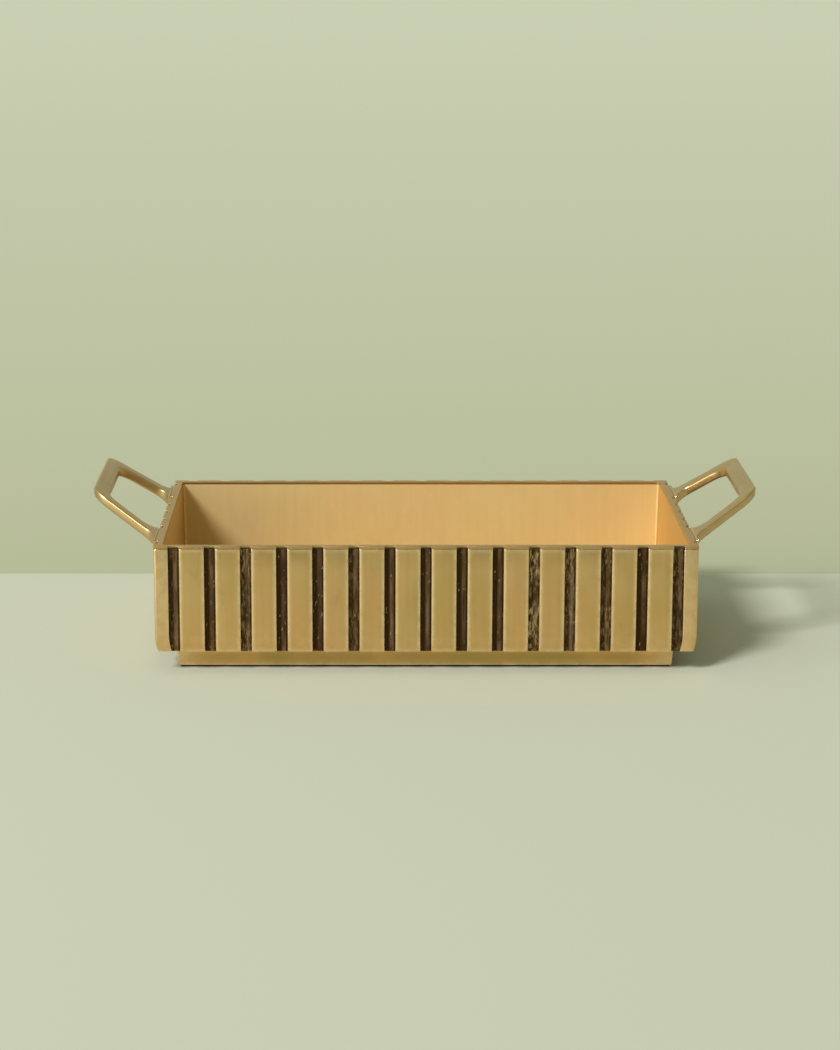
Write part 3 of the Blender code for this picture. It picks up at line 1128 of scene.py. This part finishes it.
@dataclass
class NotchedRim:
    """The flat rim over the walls, with a notch in its outer edge over every open groove."""

    finish: Material
    width: float = 0.0049
    notch_depth: float = 0.0018
    hole_radius: float = 0.0020
    rounding: float = 0.00042
    rounding_steps: int = 3
    unevenness: float = 0.00006
    wave: float = 0.02

    def side_edge(self, side: Side, reach: float, half_side: float) -> list[Point]:
        """Work out the rim's outer edge along one side.

        Args:
            side: the side.
            reach: distance from the middle to the side.
            half_side: half the length of the side.

        Returns:
            The points from the side's right end to its left end, seen from above.
        """
        grooves = groove_spans(side)
        if not side.is_long:
            under_handle = (1, len(grooves) - 2)
            grooves = [groove for index, groove in enumerate(grooves) if index not in under_handle]
        points = [(half_side, 0.0)]
        for start, end in reversed(grooves):
            points += [(end, 0.0), (end, -self.notch_depth), (start, -self.notch_depth), (start, 0.0)]
        place = side.frame(reach)
        return [tuple((place @ Vector((x, y, 0))).xy) for x, y in points]

    def recess(self, point: Vector, high: Vector) -> float:
        """Tell whether a point is low in a notch, where the patina was left.

        Args:
            point: the point.
            high: the rim's highest corner.

        Returns:
            1 in a notch, and otherwise 0.
        """
        depth = min(high.x - abs(point.x), high.y - abs(point.y))
        is_in_notch = self.rounding * 1.2 < depth < self.notch_depth + self.rounding * 1.2
        return 1.0 if is_in_notch and point.z < high.z - self.rounding * 0.6 else 0.0

    def build(self) -> Object:
        """Make the rim and dress it.

        Returns:
            The finished rim.
        """
        low, high = box_of("rim_frame")
        outer: list[Point] = []
        for side in (Side.BACK, Side.LEFT, Side.FRONT, Side.RIGHT):
            reach, half_side = (high.y, high.x) if side.is_long else (high.x, high.y)
            outer += self.side_edge(side, reach, half_side)
        hole = rounded_outline([(x * (high.x - self.width), y * (high.y - self.width), self.hole_radius)
                                for x, y in QUARTERS])
        bm = bmesh.new()
        edges = []
        for outline in (outer, hole):
            ring = [bm.verts.new((x, y, low.z)) for x, y in outline]
            edges += [bm.edges.new((ring[index - 1], ring[index])) for index in range(len(ring))]
        filled = bmesh.ops.triangle_fill(bm, edges=edges, use_beauty=True)
        raised(bm, [item for item in filled["geom"] if isinstance(item, bmesh.types.BMFace)], high.z - low.z)
        bmesh.ops.dissolve_limit(bm, angle_limit=math.radians(1), verts=bm.verts, edges=bm.edges)
        rim = new_object("rim", outward_mesh("rim", bm))
        round_edges(rim, self.rounding, self.rounding_steps)
        finished_mesh(rim)
        for vertex in rim.data.vertices:
            vertex.co.z += noise.noise(vertex.co / self.wave) * self.unevenness - self.unevenness
        store_values(rim.data, "outside", [self.recess(vertex.co, high) for vertex in rim.data.vertices])
        return dress(rim, self.finish, ["rim_frame"])


@dataclass
class Plinth:
    """The set-back frame that the tray stands on, with leaning faces and rounded edges."""

    finish: Material
    bar_width: float = 0.010
    draft: float = 0.0009
    rounding: float = 0.0006
    rounding_steps: int = 3
    level_steps: int = 5
    station_step: float = 0.012
    unevenness: float = 0.00010
    wave: float = 0.03

    def section(self, low: float, high: float) -> list[Point]:
        """Work out the frame's section.

        Args:
            low: height of its underside.
            high: height of its top.

        Returns:
            The section's points as (inset, height), outer face first.
        """
        levels = [low + (high - low) * index / self.level_steps for index in range(self.level_steps + 1)]
        outer = [(self.draft * (high - level) / (high - low), level) for level in levels]
        return outer + [(self.bar_width, high), (self.bar_width, low)]

    def build(self) -> Object:
        """Make the frame and dress it.

        Returns:
            The finished frame.
        """
        low, high = box_of("plinth_frame")
        section = self.section(low.z, high.z)
        stations = []
        for index, start in enumerate(QUARTERS):
            end = QUARTERS[(index + 1) % len(QUARTERS)]
            length = math.hypot((end[0] - start[0]) * high.x, (end[1] - start[1]) * high.y)
            count = round(length / self.station_step)
            for step in range(count):
                station = []
                for inset, height in section:
                    near = Vector((start[0] * (high.x - inset), start[1] * (high.y - inset)))
                    far = Vector((end[0] * (high.x - inset), end[1] * (high.y - inset)))
                    station.append(Vector((*near.lerp(far, step / count), height)))
                stations.append(station)
        plinth = new_object("plinth", swept("plinth", stations, is_ring=True))
        round_edges(plinth, self.rounding, self.rounding_steps)
        finished_mesh(plinth)
        mark_worn_edges(plinth.data)
        for vertex in plinth.data.vertices:
            move = (noise.noise(vertex.co / self.wave) - 1) * self.unevenness
            vertex.co.x += move * vertex.normal.x
            vertex.co.y += move * vertex.normal.y
        return dress(plinth, self.finish, ["plinth_frame"])


@dataclass
class FeltStrip:
    """One strip of felt under a long bar of the plinth."""

    side: Side
    finish: Material
    cell: float = 0.0024
    easing: float = 0.3
    fray: float = 0.00025
    tuft: float = 0.004
    seeds: Point = (1.3, 8.1)

    def build(self) -> Object:
        """Make the strip and dress it.

        Returns:
            The finished strip.
        """
        node = "felt_strip_" + self.side.label
        low, high = box_of(node)
        count = round((high.x - low.x) / self.cell)
        ease = (high.z - low.z) * self.easing
        heights = (low.z + ease, low.z, low.z, low.z + ease, high.z - ease, high.z, high.z, high.z - ease)
        stations = []
        for index in range(count + 1):
            x = low.x + (high.x - low.x) * index / count
            frays = [abs(noise.noise(Vector((x / self.tuft, seed, 0)))) * self.fray for seed in self.seeds]
            near, far = low.y + frays[0], high.y - frays[1]
            places = (near, near + ease, far - ease, far, far, far - ease, near + ease, near)
            stations.append([Vector((x, y, z)) for y, z in zip(places, heights)])
        strip = new_object(f"felt_{self.side.label}", swept(node, stations))
        finished_mesh(strip, math.radians(60))
        return dress(strip, self.finish, [node])


@dataclass
class BowHandle:
    """A cast bow: a grip and two leaning arms that flare where they meet the body."""

    side: Side
    finish: Material
    slope: float = math.radians(34.0)
    depth: float = 0.0066
    grip_width: float = 0.0080
    grip_outer_radius: float = 0.0125
    grip_inner_radius: float = 0.0135
    arm_width: float = 0.0108
    arm_lean: float = math.radians(21.1)
    arm_offset: float = 0.0028
    root_pad: float = 0.0012
    root_inner_radius: float = 0.0065
    root_outer_radius: float = 0.0090
    root_inner_reach: float = 0.0182
    root_outer_reach: float = 0.01625
    rounding: float = 0.0020
    root_rounding: float = 0.0004
    rounding_steps: int = 7
    easing: float = 0.008
    arc_step: float = math.radians(5)
    worn_fold: float = math.radians(60)
    worn_spread: int = 2

    def outline(self, reach: float, root: float) -> list[Point]:
        """Work out the bow's outline from above.

        Args:
            reach: how far it stands out from the body.
            root: distance of each root's middle from the middle of the side.

        Returns:
            The outline's points, with x away from the body and y along its side.
        """
        lean = math.tan(self.arm_lean)
        hole = reach - self.grip_width
        arm_in = root - self.arm_offset - self.arm_width / 2
        arm_out = root - self.arm_offset + self.arm_width / 2
        root_in, root_out = root - self.root_inner_reach, root + self.root_outer_reach
        inner = [(0.0, root_in, 0.0), (self.root_pad, root_in, 0.0),
                 (self.root_pad, arm_in - self.root_pad * lean, self.root_inner_radius),
                 (hole, arm_in - hole * lean, self.grip_inner_radius)]
        outer = [(reach, arm_out - reach * lean, self.grip_outer_radius),
                 (self.root_pad, arm_out - self.root_pad * lean, self.root_outer_radius),
                 (self.root_pad, root_out, 0.0), (0.0, root_out, 0.0)]
        inner_far = [(x, -y, radius) for x, y, radius in reversed(inner)]
        outer_far = [(x, -y, radius) for x, y, radius in reversed(outer)]
        return rounded_outline(inner + inner_far + outer_far + outer, self.arc_step)

    def round_at(self, x: float) -> float:
        """Return the rounding at a distance from the body, small where the bow meets it."""
        share = min(1.0, max(0.0, (x - self.root_pad) / self.easing))
        return self.root_rounding + (self.rounding - self.root_rounding) * share * share * (3 - 2 * share)

    def inward(self, outline: list[Point]) -> list[Vector]:
        """Work out the way into the bow.

        Args:
            outline: the bow's outline.

        Returns:
            For each point of the outline, the move that draws it in by one unit.
        """
        area = sum(outline[index - 1][0] * y - x * outline[index - 1][1]
                   for index, (x, y) in enumerate(outline))
        hand = math.copysign(1.0, area)
        ways = []
        for index, point in enumerate(outline):
            here = Vector(point)
            before = (here - Vector(outline[index - 1])).normalized()
            after = (Vector(outline[(index + 1) % len(outline)]) - here).normalized()
            normals = [Vector((-edge.y, edge.x)) * hand for edge in (before, after)]
            way = (normals[0] + normals[1]) / max(0.2, 1 + normals[0].dot(normals[1]))
            ways.append(Vector((0.0, math.copysign(1.0, way.y))) if here.x < 1e-7 else way)
        return ways

    def skin(self, outline: list[Point]) -> Mesh:
        """Build the bow's mesh, level, with its upper face at z = 0.

        Args:
            outline: the bow's outline.

        Returns:
            A closed mesh.
        """
        ways = self.inward(outline)
        rounds = [self.round_at(x) for x, _ in outline]
        turns = [math.pi / 2 * step / self.rounding_steps for step in range(self.rounding_steps + 1)]
        sections = []
        for turn, is_upper in [(turn, False) for turn in turns] + [(turn, True) for turn in reversed(turns)]:
            section = []
            for (x, y), way, radius in zip(outline, ways, rounds):
                inset = radius * (1 - math.sin(turn))
                drop = radius * (1 - math.cos(turn))
                height = -drop if is_upper else -self.depth + drop
                section.append(Vector((x + way.x * inset, y + way.y * inset, height)))
            sections.append(section)
        return swept("bow", sections)

    def build(self) -> Object:
        """Make the bow and dress it.

        Returns:
            The finished bow.
        """
        node = "handle_" + self.side.label
        low, high = box_of(node)
        hand = 1 if low.x + high.x > 0 else -1
        start = min(abs(low.x), abs(high.x))
        reach = max(abs(low.x), abs(high.x)) - start
        mesh = self.skin(self.outline(reach, high.y - self.root_outer_reach))
        rise = math.tan(self.slope)
        top = high.z - reach * rise
        for vertex in mesh.vertices:
            vertex.co.z += top + vertex.co.x * rise
            vertex.co.x = hand * (start + vertex.co.x)
        if hand < 0:
            mesh.flip_normals()
        bow = finished_mesh(new_object(f"bow_{self.side.label}", mesh))
        mark_worn_edges(bow.data, self.worn_fold, self.worn_spread)
        return dress(bow, self.finish, [node])


# ---- Studio ----


@dataclass(frozen=True)
class Tone:
    """The floor's colour at one distance behind the tray, painted shade that stands in for a backdrop wall.
    """

    distance: float
    colour: Colour


@dataclass
class Studio:
    """A pale floor with a darker stretch behind the tray (painted shade for a backdrop wall), a broad key
    light, a side light, a room.
    """

    camera_place: Place = (-0.03029, -1.72286, 0.45077)
    camera_tilt: float = math.radians(90 - 12.517)
    lens: float = 97.65
    sensor: float = 36.0
    shift: float = 0.0433
    sight: float = 60.0
    floor_half: float = 20.0
    floor_drop: float = 0.0001
    near_tone: Colour = (0.545, 0.566, 0.464)
    # Darker tones behind the tray, lighter further away: painted shade standing in for a backdrop wall.
    far_tones: tuple[Tone, ...] = (
        Tone(0.17, (0.440, 0.462, 0.325)), Tone(0.40, (0.468, 0.486, 0.347)),
        Tone(0.73, (0.492, 0.516, 0.378)), Tone(1.50, (0.523, 0.548, 0.418)),
        Tone(3.40, (0.568, 0.587, 0.465)), Tone(8.00, (0.600, 0.628, 0.505)))
    step_start: float = 0.1545
    step_end: float = 0.1575
    key_direction: Place = (-0.484, -0.597, 0.640)
    key_strength: float = 2.8
    key_angle: float = math.radians(15.0)
    key_colour: Colour = (1.0, 0.99, 1.0)
    side_place: Place = (-1.35, -0.75, 0.40)
    side_aim: Place = (0.0, 0.0, 0.04)
    side_size: Point = (0.8, 0.7)
    side_power: float = 6.0
    room_front: Colour = (0.30, 0.315, 0.24)
    room_back: Colour = (0.475, 0.495, 0.355)
    room_left: Colour = (1.35, 1.35, 1.35)
    room_right: Colour = (0.80, 0.80, 0.80)
    room_span: float = 0.9

    def add_camera(self) -> None:
        """Make the camera."""
        data = bpy.data.cameras.new("camera")
        data.lens = self.lens
        data.sensor_width = self.sensor
        data.shift_x = self.shift
        data.clip_end = self.sight
        camera = bpy.data.objects.new("camera", data)
        camera.location = self.camera_place
        camera.rotation_euler = (self.camera_tilt, 0, 0)
        bpy.context.scene.collection.objects.link(camera)
        bpy.context.scene.camera = camera

    def floor_finish(self) -> Material:
        """Make the floor's finish, one tone in front and a slow run of tones behind the tray, which is
        painted shade for a backdrop wall.

        Returns:
            The material.
        """
        bench = FinishBench("studio_floor")
        distance = bench.axis("Y")
        first, last = self.far_tones[0].distance, self.far_tones[-1].distance
        run = bench.maths("LOGARITHM", bench.maths("MAXIMUM", distance, first), last / first)
        share = bench.minus(run, math.log(first, last / first))
        ramp = add_node(bench.tree, "ShaderNodeValToRGB", {"Fac": share})
        stops = ramp.color_ramp.elements
        while len(stops) < len(self.far_tones):
            stops.new(len(stops) / len(self.far_tones))
        for stop, tone in zip(stops, self.far_tones):
            stop.position = math.log(tone.distance / first, last / first)
            stop.color = (*tone.colour, 1.0)
        behind = bench.remap(distance, self.step_start, self.step_end)
        colour = bench.blend(behind, self.near_tone, ramp.outputs["Color"])
        bench.feed(Base_Color=colour, Roughness=0.9, Specular_IOR_Level=0.1)
        return bench.material

    def add_floor(self) -> None:
        """Make the floor."""
        half = self.floor_half
        corners = [Vector((x * half, y * half, -self.floor_drop)) for x, y in QUARTERS]
        mesh = bpy.data.meshes.new("studio_floor")
        mesh.from_pydata(corners, [], [range(len(corners))])
        floor = new_object("studio_floor", mesh)
        floor.data.materials.append(self.floor_finish())

    def add_light(self, data: bpy.types.Light, place: Vector, backwards: Vector) -> None:
        """Hang a light.

        Args:
            data: the light.
            place: where it hangs.
            backwards: the way that it faces away from.
        """
        light = bpy.data.objects.new(data.name, data)
        light.location = place
        light.rotation_euler = backwards.to_track_quat("Z", "Y").to_euler()
        bpy.context.scene.collection.objects.link(light)

    def add_key(self) -> None:
        """Make the key light, a broad one at the upper left in front of the tray."""
        data = bpy.data.lights.new("key", "SUN")
        data.energy = self.key_strength
        data.angle = self.key_angle
        data.color = self.key_colour
        self.add_light(data, Vector(self.key_direction) * 2, Vector(self.key_direction))

    def add_side_light(self) -> None:
        """Make the low soft light on the left, which draws the bright line on the ribs' left edges."""
        data = bpy.data.lights.new("side_light", "AREA")
        data.shape = "RECTANGLE"
        data.size, data.size_y = self.side_size
        data.energy = self.side_power
        self.add_light(data, Vector(self.side_place), Vector(self.side_place) - Vector(self.side_aim))

    def add_room(self) -> None:
        """Make the room's own light: brightest on the left, even behind, dim on the right."""
        world = bpy.data.worlds.new("room")
        world.use_nodes = True
        bench = NodeBench(world.node_tree, "Generated")
        span = (-self.room_span, self.room_span)
        back, right = (bench.remap(bench.axis(letter), *span, curve="LINEAR") for letter in "YX")
        tone = bench.blend(back, self.room_front, self.room_back)
        strength = bench.blend(right, self.room_left, self.room_right)
        colour = bench.blend(1.0, tone, strength, "MULTIPLY")
        join(bench.tree, colour, bench.tree.nodes["Background"].inputs["Color"])
        bpy.context.scene.world = world

    def build(self) -> None:
        """Set up the whole studio."""
        self.add_camera()
        self.add_floor()
        self.add_key()
        self.add_side_light()
        self.add_room()
        bpy.context.scene.view_settings.view_transform = "Standard"
        LOG.info("studio ready")


def main() -> None:
    """Build the studio and every sub-assembly in order, and note the sizes."""
    logging.basicConfig(level=logging.INFO, format="%(message)s")
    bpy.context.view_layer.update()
    Studio().build()
    foot = Foot(box_of("wall_front")[0].z)
    rib_brass = RIB_BRASS.make()
    wall_brass = LIT_WALL_BRASS.make()
    end_brass = SHADED_END_BRASS.make()
    # The long walls take the lit copy of the brass, the end walls the shaded copy.
    for side in Side:
        WallPlate(side, foot, wall_brass if side.is_long else end_brass).build()
        RibRow(side, foot, rib_brass).build()
    for corner in Corner:
        CornerPost(corner, foot, rib_brass).build()
    FloorPlate(SHADE_DEEPENING_FLOOR_BRASS.make()).build()
    NotchedRim(RIM_BRASS.make()).build()
    Plinth(PLINTH_BRASS.make()).build()
    felt = BLACK_FELT.make()
    for side in (Side.FRONT, Side.BACK):
        FeltStrip(side, felt).build()
    handle_brass = HANDLE_BRASS.make()
    for side in (Side.LEFT, Side.RIGHT):
        BowHandle(side, handle_brass).build()


if __name__ == "__main__":
    main()
